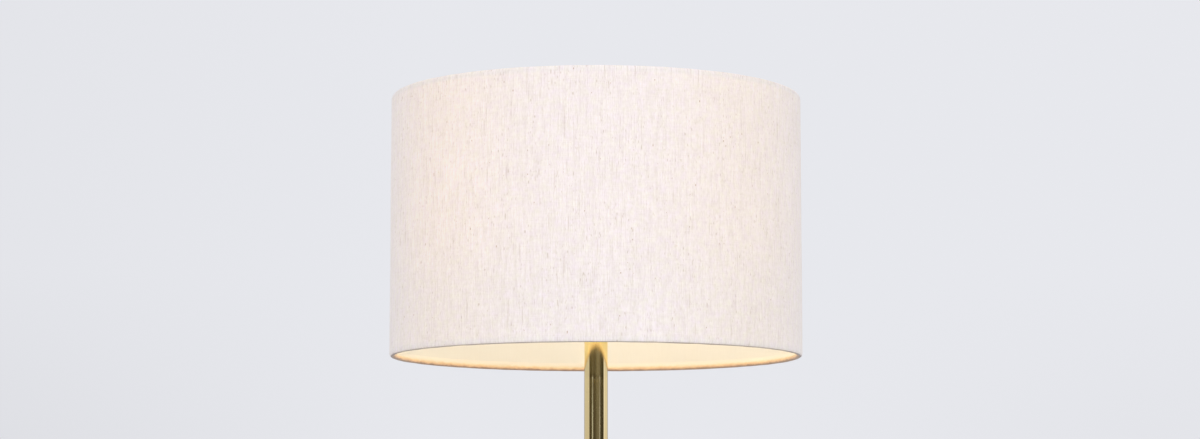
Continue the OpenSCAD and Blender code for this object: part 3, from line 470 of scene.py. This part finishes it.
def lit_glass(name):
    """Frosted glass over a hot filament: brightest round the belly and dimmer towards the cap."""
    mat, g = material(name)
    away = g.math("ABSOLUTE", g.math("SUBTRACT", object_height(g), HOTTEST_Z))
    heat = g.ramp(g.math("DIVIDE", away, HEAT_REACH), [
        (0.0, (1.0, 0.86, 0.62)), (0.55, (1.0, 0.78, 0.48)), (1.0, (0.62, 0.40, 0.20))])
    frost = speckle(g, 2600, 2)
    body = principled(g, {
        "Base Color": (0.42, 0.40, 0.36), "Roughness": g.spread(frost, 0.35, 0.5),
        "Normal": bump(g, frost, 0.3, 0.02 * MM),
        "Emission Color": heat, "Emission Strength": 0.70})
    clear = g.add("ShaderNodeBsdfTransparent")
    is_shadow = g.add("ShaderNodeLightPath").outputs["Is Shadow Ray"]
    surface(g, g.add("ShaderNodeMixShader", {0: is_shadow, 1: body, 2: clear}))
    return mat


def tungsten(name):
    """The filament and its supports: grey metal with fine marks, closest together along X."""
    mat, g = material(name)
    coil = speckle(g, 900, 2, scale=(6, 1, 1))
    surface(g, principled(g, {
        "Base Color": g.mix(coil, (0.30, 0.27, 0.24), (0.55, 0.50, 0.42)), "Metallic": 1.0,
        "Roughness": g.spread(coil, 0.4, 0.6), "Normal": bump(g, coil, 0.5, 0.05 * MM)}))
    return mat


def lining(name):
    """The stiff film inside: cream, nearly matt, with the weave showing faintly through."""
    mat, g = material(name)
    through = speckle(g, 800, 2, scale=(1, 1, 0.12))
    clouds = speckle(g, 18, 2)
    tone = g.mix(g.spread(through, 0, 0.5), (0.93, 0.892, 0.812), (0.87, 0.820, 0.722))
    tone = g.mix(g.spread(clouds, 0, 0.2), tone, (0.90, 0.82, 0.70))
    surface(g, principled(g, {
        "Base Color": tone, "Roughness": g.spread(clouds, 0.5, 0.65),
        "Normal": bump(g, through, 0.15, 0.05 * MM)}))
    return mat


def powder_coat(name, colour):
    """Sprayed paint with a fine orange peel."""
    mat, g = material(name)
    peel = speckle(g, 700, 2)
    surface(g, principled(g, {
        "Base Color": g.mix(g.spread(peel, 0, 0.2), colour, dim(colour, 0.8)),
        "Roughness": g.spread(peel, 0.3, 0.42), "Normal": bump(g, peel, 0.2, 0.1 * MM)}))
    return mat


FLOOR_R = 2.0
FLOOR_STEP_DEG = 3
FLOOR_FADE = (0.5, 1.8)


def floor_paint(name):
    """Matt pale paint with faint clouds and grit, which thins out to nothing far from the lamp."""
    mat, g = material(name)
    clouds = speckle(g, 1.5, 3)
    paint = principled(g, {
        "Base Color": g.mix(g.spread(clouds, 0, 1), (0.765, 0.77, 0.785), (0.80, 0.805, 0.82)),
        "Roughness": 0.8, "Normal": bump(g, speckle(g, 300, 2), 0.05, 0.1 * MM)})
    away = g.add("ShaderNodeVectorMath", {0: object_place(g)}, operation="LENGTH").outputs["Value"]
    gone = g.rise(away, *FLOOR_FADE, smooth=True)
    surface(g, g.add("ShaderNodeMixShader", {0: gone, 1: paint, 2: g.add("ShaderNodeBsdfTransparent")}))
    return mat


# ---------------------------------------------------------------------------------------------
# The linen: one strip of cloth, round the drum and over both rings

# The UV map's name, and how many steps the strip has round the drum and down its wall
WEAVE = "weave"
TURNS = 360
WALL_ROWS = 56

# The roll round a ring: its steps, and how much of the full turn it leaves open
ROLL_STEPS = 14
ROLL_OPEN = math.radians(135)

# The flap after the roll: its points, how far from the drum's edge it ends, its gap to the liner, how
# far its first point goes along the slant to the liner's face, and the least steps of the other two
FLAP_POINTS = 3
FLAP_H = 5.6 * MM
FLAP_GAP = 0.05 * MM
FLAP_SLANT = 0.6
FLAP_STEPS = (0.4 * MM, 0.6 * MM)

# The lap at the back: its width and angle, how far it stands out, and how its two sides come down
LAP = 12 * MM
LAP_AT = math.radians(90)
LAP_LIFT = 0.7 * MM
LAP_EDGE = math.radians(0.06)
LAP_FADE = 2 * LAP

# The cloth's drift: a ripple up and down near its edges, and a slow swell outwards and inwards
RIPPLE = 0.22 * MM
RIPPLE_SIZE = 0.09
RIPPLE_REACH = 14 * MM
SWELL = 0.25 * MM
SWELL_SIZE = 0.45


def roll_line():
    """The middle of the cloth at the lower edge, from the outer wall round the ring to the flap's end."""
    mid_r = SHADE_R - RING_CIRCLE_R - LINEN_T / 2
    centre = Vector((RING_CIRCLE_R, SHADE_R - RING_CIRCLE_R))
    line = []
    for i in range(ROLL_STEPS + 1):
        a = -(2 * math.pi - ROLL_OPEN) * i / ROLL_STEPS
        line.append(centre + mid_r * Vector((math.cos(a), math.sin(a))))
    face = LINER_R - LINER_T - LINEN_T / 2 - FLAP_GAP
    run = face - line[-1].x
    line.append(line[-1] + Vector((run * FLAP_SLANT, run * FLAP_SLANT)))
    line.append(Vector((face, line[-2].y + run + FLAP_STEPS[0])))
    line.append(Vector((face, max(FLAP_H, line[-1].y + FLAP_STEPS[1]))))
    return line


def cloth_line():
    """The whole strip's middle, from the flap inside the top edge to the flap inside the bottom edge."""
    low = roll_line()
    high = [Vector((p.x, SHADE_H - p.y)) for p in reversed(low)]
    top, bottom = high[-1], low[0]
    wall = [top.lerp(bottom, i / WALL_ROWS) for i in range(1, WALL_ROWS)]
    return high + wall + low


def run_lengths(line):
    """How far along the strip each point of its middle lies."""
    lengths = [0.0]
    for a, b in zip(line, line[1:]):
        lengths.append(lengths[-1] + (b - a).length)
    return lengths


def strip_angles():
    """Even steps round the drum, and one close to each side of the lap's step."""
    even = [2 * math.pi * i / TURNS for i in range(TURNS)]
    return sorted(even + [LAP_AT + LAP_EDGE, LAP_AT - LAP_EDGE])


def lap_lift(angle):
    """How far the cloth stands out where its end is lapped over its beginning, at the back."""
    past = (angle - LAP_AT) * SHADE_R
    if past < 0 or past > LAP + LAP_FADE:
        return 0.0
    step = min(1.0, past / (LAP_EDGE * SHADE_R))
    fade = 1.0 if past < LAP else 1 - (past - LAP) / LAP_FADE
    return LAP_LIFT * step * fade * fade * (3 - 2 * fade)


def weave_drift(angle, height, size, amount, seed):
    """How far the cloth drifts at a place on the drum: size is that of the drift's blobs, in radii."""
    place = Vector((math.cos(angle) / size, math.sin(angle) / size, height / (size * SHADE_R) + seed))
    return amount * noise.noise(place)


def strip_points(line, angles):
    """Both sides of the cloth, row by row: first the side that is outside on the wall, then the other."""
    points = []
    for side in (1, -1):
        for i, p in enumerate(line):
            ahead = line[min(i + 1, len(line) - 1)] - line[max(i - 1, 0)]
            outward = Vector((-ahead.y, ahead.x)).normalized()
            r = p + outward * (side * LINEN_T / 2)
            near_edge = max(0.0, 1 - min(p.y, SHADE_H - p.y) / RIPPLE_REACH)
            for angle in angles:
                ripple = weave_drift(angle, p.y, RIPPLE_SIZE, RIPPLE, seed=3.1) * near_edge
                swell = weave_drift(angle, p.y, SWELL_SIZE, SWELL, seed=7.7)
                out = r.x + swell + (lap_lift(angle) if p.x > LINER_R else 0.0)
                points.append((out * math.cos(angle), out * math.sin(angle), SHADE_LOW.z + r.y + ripple))
    return points


def strip_faces(rows, turns):
    """Quads over both sides and along both cut edges, and the step round the drum that each spans."""
    def at(side, row, turn):
        return (side * rows + row) * turns + turn % turns

    faces, spans = [], []
    for t in range(turns):
        for row in range(rows - 1):
            faces.append((at(0, row, t), at(0, row, t + 1), at(0, row + 1, t + 1), at(0, row + 1, t)))
            faces.append((at(1, row, t), at(1, row + 1, t), at(1, row + 1, t + 1), at(1, row, t + 1)))
        for row in (0, rows - 1):
            quad = (at(0, row, t), at(1, row, t), at(1, row, t + 1), at(0, row, t + 1))
            faces.append(quad if row == 0 else quad[::-1])
        spans += [t] * (len(faces) - len(spans))
    return faces, spans


def map_weave(mesh, angles, lengths, spans):
    """The UV map: metres round the drum at its outside, and metres along the strip."""
    rows, turns = len(lengths), len(angles)
    weave = mesh.uv_layers.new(name=WEAVE)
    for poly, span in zip(mesh.polygons, spans):
        for loop in poly.loop_indices:
            row, turn = divmod(mesh.loops[loop].vertex_index, turns)
            once_round = 2 * math.pi if turn == 0 and span == turns - 1 else 0.0
            weave.data[loop].uv = ((angles[turn] + once_round) * SHADE_R, lengths[row % rows])


# ---------------------------------------------------------------------------------------------
# The linen's material

# From the middle of one thread to the next, upright and level
WARP_PITCH = 0.80 * MM
WEFT_PITCH = 0.86 * MM

# How far apart in the noise two threads lie that are next to each other on the cloth
THREADS_APART = 7.31

LINEN_PINK = (0.917, 0.845, 0.875)
LINEN_CREAM = (0.917, 0.869, 0.826)
DARK_THREAD = (0.43, 0.29, 0.18)
HUSK = (0.42, 0.24, 0.13)
LAP_EDGE_SHADOW = (0.45, 0.38, 0.35)
# The painted shadow in the outer crease at the drum's foot
PAINTED_FOLD_SHADOW = (0.24, 0.17, 0.14)
# A painted warm tint for the flanks halfway between the shadows
PAINTED_FLANK_TINT = (0.985, 0.975, 0.94)
WARM_LIGHT = (1.0, 0.47, 0.14)

# How much a thread's paleness tells in red, green and blue
PALE_SHARES = (0.91, 1.02, 1.17)

# Painted shade and warm light on the cloth that is turned in, from its fold up to where the painting ends
PAINTED_HEM_SHADE = [
    (0.0, (0.40, 0.27, 0.19)), (0.12, (0.46, 0.30, 0.21)), (0.25, (0.80, 0.52, 0.32)),
    (0.40, (0.89, 0.64, 0.38)), (0.54, (0.905, 0.75, 0.50)), (0.72, (0.92, 0.84, 0.68)),
    (1.0, (0.92, 0.868, 0.765))]
PAINTED_HEM_SHADE_H = 6 * MM
PAINTED_HEM_SHADE_UNEVEN = 2.4 * MM

# How softly the colour changes where the cloth turns in, and the heights over which the painted shadow in
# the outer crease fades
TURN_SOFT = 0.3 * MM
PAINTED_CREASE = (0.15 * MM, 0.8 * MM)

# Up to where the rolled edges stop most of the light, and from where they stop none
RIM_DIM = 3.5 * MM
RIM_CLEAR = 6 * MM

# How far the painted shadow line at the lap's cut end wanders, and how wide that line and the change in
# thickness are
LAP_SHADOW_WANDER = 1.6 * MM
LAP_SHADOW_START = (-0.7 * MM, -0.2 * MM)
LAP_SHADOW_END = (0.1 * MM, 0.6 * MM)
DOUBLED_SOFT = (0.2 * MM, 1 * MM)


class Cloth:
    """The linen's own coordinates in metres, u round the drum and v down the cloth, and noise on them."""

    def __init__(self, g):
        self.g = g
        self.uv = g.add("ShaderNodeUVMap", uv_map=WEAVE).outputs[0]
        self.u, self.v = g.add("ShaderNodeSeparateXYZ", {0: self.uv}).outputs[:2]

    def patches(self, wide_mm, tall_mm, detail, seed):
        """Noise whose blobs are about this wide and this tall on the cloth."""
        place = self.g.add("ShaderNodeMapping", {
            "Vector": self.uv, "Scale": (1 / wide_mm, 1 / tall_mm, 1), "Location": (seed, seed, 0)})
        return noise_at(self.g, place, 1 / MM, detail)

    def threads(self, across, pitch, run, length_mm, seed):
        """Noise of its own along each thread: across counts the threads, and run goes along them."""
        thread = self.g.math("FLOOR", self.g.math("DIVIDE", across, pitch))
        apart = self.g.math("MULTIPLY", thread, THREADS_APART)
        place = self.g.add("ShaderNodeCombineXYZ", {
            0: apart, 1: self.g.math("DIVIDE", run, length_mm * MM), 2: seed})
        return noise_at(self.g, place, 1.0, 0.0)

    def upright(self, length_mm, seed):
        """Noise along the upright threads, in stretches about this long."""
        return self.threads(self.u, WARP_PITCH, self.v, length_mm, seed)

    def level(self, length_mm, seed):
        """Noise along the level threads, in stretches about this long."""
        return self.threads(self.v, WEFT_PITCH, self.u, length_mm, seed)


def linen(name):
    """Undyed linen over a lit liner, with the light that comes through it painted on as a warm glow."""
    mat, g = material(name)
    cloth = Cloth(g)
    slubs, pale = thread_paleness(g, cloth)
    dark, husks = dark_stretches(g, cloth)
    place = g.add("ShaderNodeSeparateXYZ", {0: object_place(g, (1 / SHADE_R, 1 / SHADE_R, 1))}).outputs
    sine, cosine, height = place
    between = between_shadows(g, sine, cosine)
    lap_shadow, doubled = lap_marks(g, cloth)

    body = thread_colours(g, cloth, pale, dark, husks)
    # Painted light: halfway between the stem's and the harp's shadows the cloth is tinted warmer
    body = g.mix(between, body, g.mix(1.0, body, PAINTED_FLANK_TINT, "MULTIPLY"))
    body = with_painted_fold_shade(g, cloth, body)
    # Painted shadow along the lap's cut end
    body = g.mix(g.math("MULTIPLY", lap_shadow, 0.6), body, LAP_EDGE_SHADOW)

    # The painted glow: pale threads let more light through, and dark ones, the lap and the rolled edges
    # hold it back
    shine = light_through(g, sine, height, between)
    for share in (g.math("MULTIPLY_ADD", pale, 0.6, 1.0), g.math("SUBTRACT", 1.0, dark),
                  g.math("MULTIPLY_ADD", doubled, -0.45, 1.0), rim_shadow(g)):
        shine = g.math("MULTIPLY", shine, share)
    painted_glow = g.mix(1.0, WARM_LIGHT, g.tone(shine), "MULTIPLY")

    surface(g, principled(g, {
        "Base Color": body, "Roughness": 0.88, "Specular IOR Level": 0.25,
        "Normal": thread_relief(g, cloth, slubs),
        "Sheen Weight": 0.32, "Sheen Roughness": 0.42, "Sheen Tint": (0.97, 0.985, 1.0),
        "Emission Color": painted_glow, "Emission Strength": 1.0}))
    return mat


def thread_paleness(g, cloth):
    """Uneven threads: upright slubs of two lengths, fainter ones across, and clouds in the cloth."""
    def either_way(blobs, amount):
        return g.spread(blobs, -amount, amount, 0.25, 0.75)

    slubs = cloth.upright(15.0, seed=0.3)
    upright = g.math("ADD", either_way(slubs, 0.050), either_way(cloth.upright(3.0, seed=5.1), 0.041))
    level = either_way(cloth.level(7.0, seed=9.7), 0.018)
    clouds = either_way(cloth.patches(22.0, 60.0, detail=2.0, seed=1.7), 0.012)
    return slubs, g.math("ADD", upright, g.math("ADD", level, clouds))


def dark_stretches(g, cloth):
    """Thick and dark stretches of thread, in loose clusters and a few long ones, and flecks of husk."""
    clusters = g.spread(cloth.patches(14.0, 30.0, detail=1.0, seed=5.5), 0.2, 1.0, 0.42, 0.60)
    knots = g.math("MULTIPLY", g.rise(cloth.upright(4.4, seed=2.2), 0.68, 0.84), clusters)
    long_ones = g.rise(cloth.upright(21.0, seed=7.7), 0.70, 0.86)
    husks = g.rise(cloth.upright(3.8, seed=4.6), 0.83, 0.90)
    return g.math("MAXIMUM", g.math("MULTIPLY", knots, 0.40), g.math("MULTIPLY", long_ones, 0.22)), husks


def thread_colours(g, cloth, pale, dark, husks):
    """Patches that are creamier or pinker than others, dark threads and husks, and pale threads."""
    hue = g.rise(cloth.patches(6.0, 7.0, detail=2.0, seed=6.1), 0.3, 0.7)
    body = g.mix(hue, LINEN_PINK, LINEN_CREAM)
    body = g.mix(dark, body, DARK_THREAD)
    body = g.mix(g.math("MULTIPLY", husks, 0.6), body, HUSK)
    tone = g.add("ShaderNodeCombineColor", {
        i: g.math("MULTIPLY_ADD", pale, share, 1.0) for i, share in enumerate(PALE_SHARES)})
    return g.mix(1.0, body, tone, "MULTIPLY")


def between_shadows(g, sine, cosine):
    """1 halfway between the stem's shadow, front and back, and the harp's, at the sides, and 0 in them."""
    quarter = g.math("MULTIPLY", g.math("ABSOLUTE", g.math("MULTIPLY", sine, cosine)), 2)
    return g.math("POWER", quarter, 3)


def wander(g, blobs, amount):
    """Noise from 0 to 1 turned into a distance either way."""
    return g.math("MULTIPLY_ADD", blobs, amount, -amount / 2)


def with_painted_fold_shade(g, cloth, body):
    """Painted shade and warm light inside the rolled edges, brown at the fold and yellow above it, and a
    painted shadow in the outer crease at the drum's foot.
    """
    above, below, inside = fold_places(g, cloth.v)
    uneven = wander(g, cloth.patches(7.0, 3.0, detail=2.0, seed=8.8), PAINTED_HEM_SHADE_UNEVEN)
    edge = g.math("ADD", g.math("MINIMUM", above, below), uneven)
    body = g.mix(inside, body, g.ramp(g.math("DIVIDE", edge, PAINTED_HEM_SHADE_H), PAINTED_HEM_SHADE))
    outside = g.math("SUBTRACT", 1.0, inside)
    painted_crease = g.math("MULTIPLY", g.spread(above, 0.9, 0.0, *PAINTED_CREASE), outside)
    return g.mix(painted_crease, body, PAINTED_FOLD_SHADOW)


def fold_places(g, v):
    """A point's heights over the drum's foot and under its top, and 1 where the cloth is turned in."""
    lengths = run_lengths(cloth_line())
    turned = int(FLAP_POINTS + ROLL_STEPS * (1 - math.pi / 2 / (2 * math.pi - ROLL_OPEN)))
    first, last = lengths[turned], lengths[len(lengths) - 1 - turned]
    z = object_height(g)
    above, below = g.math("SUBTRACT", z, SHADE_LOW.z), g.math("SUBTRACT", SHADE_HIGH.z, z)
    inside = g.math("MAXIMUM", g.fall(v, first - TURN_SOFT, first + TURN_SOFT),
                    g.rise(v, last - TURN_SOFT, last + TURN_SOFT))
    return above, below, inside


def lap_marks(g, cloth):
    """A painted shadow line along the strip's cut end, and 1 where it laps its beginning and the cloth is
    double.
    """
    past = g.math("SUBTRACT", cloth.u, LAP_AT * SHADE_R)
    wandering_edge = g.math("ADD", past, wander(g, cloth.level(40.0, seed=3.9), LAP_SHADOW_WANDER))
    lap_shadow = g.math("MULTIPLY", g.rise(wandering_edge, *LAP_SHADOW_START), g.fall(past, *LAP_SHADOW_END))
    near, far = DOUBLED_SOFT
    doubled = g.math("MULTIPLY", g.rise(past, -near, near), g.fall(past, LAP - far, LAP + far))
    return lap_shadow, doubled


def thread_relief(g, cloth, slubs):
    """The threads themselves, over and under each other."""
    warp = g.math("SINE", g.math("MULTIPLY", cloth.u, 2 * math.pi / WARP_PITCH))
    weft = g.math("SINE", g.math("MULTIPLY", cloth.v, 2 * math.pi / WEFT_PITCH))
    over_under = g.math("MULTIPLY", g.math("MULTIPLY", warp, weft), 0.35)
    return bump(g, g.math("ADD", over_under, slubs), 0.5, 0.10 * MM)


def light_through(g, sine, height, between):
    """Painted warm glow, standing in for the bulb's light through the cloth: most between the shadows,
    more towards -X, and less at the foot.
    """
    lobes = g.math("MULTIPLY", g.math("MULTIPLY_ADD", sine, -0.020, 0.036), between)
    foot, full = SHADE_LOW.z + 0.1 * SHADE_H, SHADE_LOW.z + 0.5 * SHADE_H
    risen = g.spread(height, 0.55, 1.0, foot, full, smooth=True)
    return g.math("MULTIPLY", g.math("ADD", lobes, 0.046), risen)


def rim_shadow(g):
    """1 on the cloth's open stretch, falling where the rolled edges stop the light."""
    z = object_height(g)
    low = g.spread(z, 0.35, 1.0, SHADE_LOW.z + RIM_DIM, SHADE_LOW.z + RIM_CLEAR)
    high = g.spread(z, 0.35, 1.0, SHADE_HIGH.z - RIM_DIM, SHADE_HIGH.z - RIM_CLEAR)
    return g.math("MULTIPLY", low, high)


def make_linen():
    line = cloth_line()
    lengths = run_lengths(line)
    angles = strip_angles()
    faces, spans = strip_faces(len(line), len(angles))
    mesh = bpy.data.meshes.new("linen_drum")
    mesh.from_pydata(strip_points(line, angles), [], faces)
    map_weave(mesh, angles, lengths, spans)
    mesh.validate()
    mesh.shade_smooth()
    drum = link(bpy.data.objects.new("linen_drum", mesh))
    mesh.materials.append(linen("undyed_linen"))
    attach(drum, "shade")
    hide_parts("shade_linen")


# ---------------------------------------------------------------------------------------------
# Materials on the CAD pieces

ROUNDING_MIN_ANGLE = math.radians(38)

# The stem's gloss turns between these heights, just under the shade, to that of a tube that leans back
STEM_LEANING = (SHADE_LOW.z - 20 * MM, SHADE_LOW.z - 12 * MM, 0.062)


def dress(mat, *names, edge=0.0):
    """Puts a material on CAD nodes, and rounds their sharp edges by edge metres."""
    for name in names:
        obj = NODES[name]
        obj.data.materials.clear()
        obj.data.materials.append(mat)
        if edge:
            soften(obj, edge)


def soften(obj, width):
    rounding = obj.modifiers.new("rounded_edges", "BEVEL")
    rounding.width = width
    rounding.segments = 2
    rounding.limit_method = "ANGLE"
    rounding.angle_limit = ROUNDING_MIN_ANGLE
    rounding.harden_normals = True


def dress_base():
    dress(brass("leg_brass"), "leg_1", "leg_2", "leg_3", edge=0.25 * MM)
    dress(brass("turned_brass", turned=0.5), "feet", "tripod_hub", "hub_cup", edge=0.3 * MM)
    dress(brass("ferrule_brass", tint=BRIGHT_BRASS, rough=0.10, turned=0.3),
          "leg_ferrules", "stem_collar", edge=0.25 * MM)
    dress(brass("cup_screw_brass", rough=0.18), "cup_screws", edge=0.15 * MM)
    dress(moulded("rubber_black", (0.022, 0.022, 0.022), rough=0.75, grain=0.03, pitch=900), "foot_pads")
    dress(steel("blackened_steel", (0.07, 0.07, 0.075), rough=0.4), "leg_grub_screws")
    dress(moulded("bush_black", (0.02, 0.02, 0.02), rough=0.45), "inlet_bush")
    dress(moulded("block_white", (0.80, 0.79, 0.75)), "terminal_block")
    dress(steel("zinc_steel", (0.60, 0.61, 0.60), rough=0.3, grain=0.3),
          "hub_washer", "earth_tag", "terminal_screws", "block_screw")


def dress_stem():
    dress(brass("stem_brass", tint=(0.917, 0.765, 0.375), rough=0.09, tarnish=0.15, leaning=STEM_LEANING),
          "stem")
    dress(brass("cap_brass", tint=BRIGHT_BRASS, rough=0.11, turned=0.3), "stem_cap", edge=0.3 * MM)
    dress(brass("raw_brass", tint=(0.78, 0.62, 0.34), rough=0.3, turned=0.9, tarnish=0.6),
          "threaded_tube", "hub_nut", "lampholder_screws", "screw_shell", "centre_contact")


def dress_lampholder():
    dress(brass("holder_brass", rough=0.15), "lampholder_cap", "lampholder_shell")
    dress(fibre("fibre_board", (0.50, 0.40, 0.26)), "lampholder_liner")
    dress(moulded("phenolic_black", (0.018, 0.016, 0.015), rough=0.25, coat=0.3),
          "lampholder_body", "switch_bush", "switch_key")
    dress(steel("spindle_steel", (0.55, 0.55, 0.54), rough=0.3), "switch_spindle")
    dress(insulation("lead_brown", (0.12, 0.05, 0.02)), "live_lead")
    dress(insulation("lead_blue", (0.03, 0.12, 0.38)), "neutral_lead")
    dress(insulation("lead_green", (0.05, 0.25, 0.05), stripe=(0.75, 0.60, 0.05)), "earth_lead")


def dress_bulb():
    dress(steel("solder", (0.50, 0.50, 0.50), rough=0.45), "bulb_contact")
    dress(black_glass("black_glass"), "bulb_insulator")
    dress(steel("nickel", (0.66, 0.64, 0.60), rough=0.2, grain=0.1), "bulb_cap")
    dress(lit_glass("lit_glass"), "bulb_glass")
    dress(clear_glass("clear_glass"), "bulb_mount")
    dress(tungsten("tungsten"), "filament", "filament_supports")


def dress_shade():
    dress(lining("shade_lining"), "shade_liner")
    dress(powder_coat("white_wire", (0.80, 0.79, 0.75)), "top_ring", "bottom_ring", "spider")
    dress(brass("harp_brass", tint=(0.84, 0.67, 0.36), rough=0.2), "harp", "harp_saddle")
    dress(brass("sleeve_brass", tint=(0.90, 0.72, 0.40), rough=0.12),
          "harp_sleeve_left", "harp_sleeve_right", edge=0.12 * MM)
    dress(brass("finial_brass", tint=BRIGHT_BRASS, rough=0.10, turned=0.3), "finial")


def make_floor():
    angles = [math.radians(a) for a in range(0, 360, FLOOR_STEP_DEG)]
    ring = [(FLOOR_R * math.cos(a), FLOOR_R * math.sin(a), 0) for a in angles]
    mesh = bpy.data.meshes.new("floor")
    mesh.from_pydata(ring, [], [range(len(ring))])
    floor = link(bpy.data.objects.new("floor", mesh))
    mesh.materials.append(floor_paint("floor_paint"))


make_camera()
make_world()
make_lights()
make_floor()
make_linen()
dress_base()
dress_stem()
dress_lampholder()
dress_bulb()
dress_shade()

bpy.context.scene.view_settings.view_transform = "Standard"
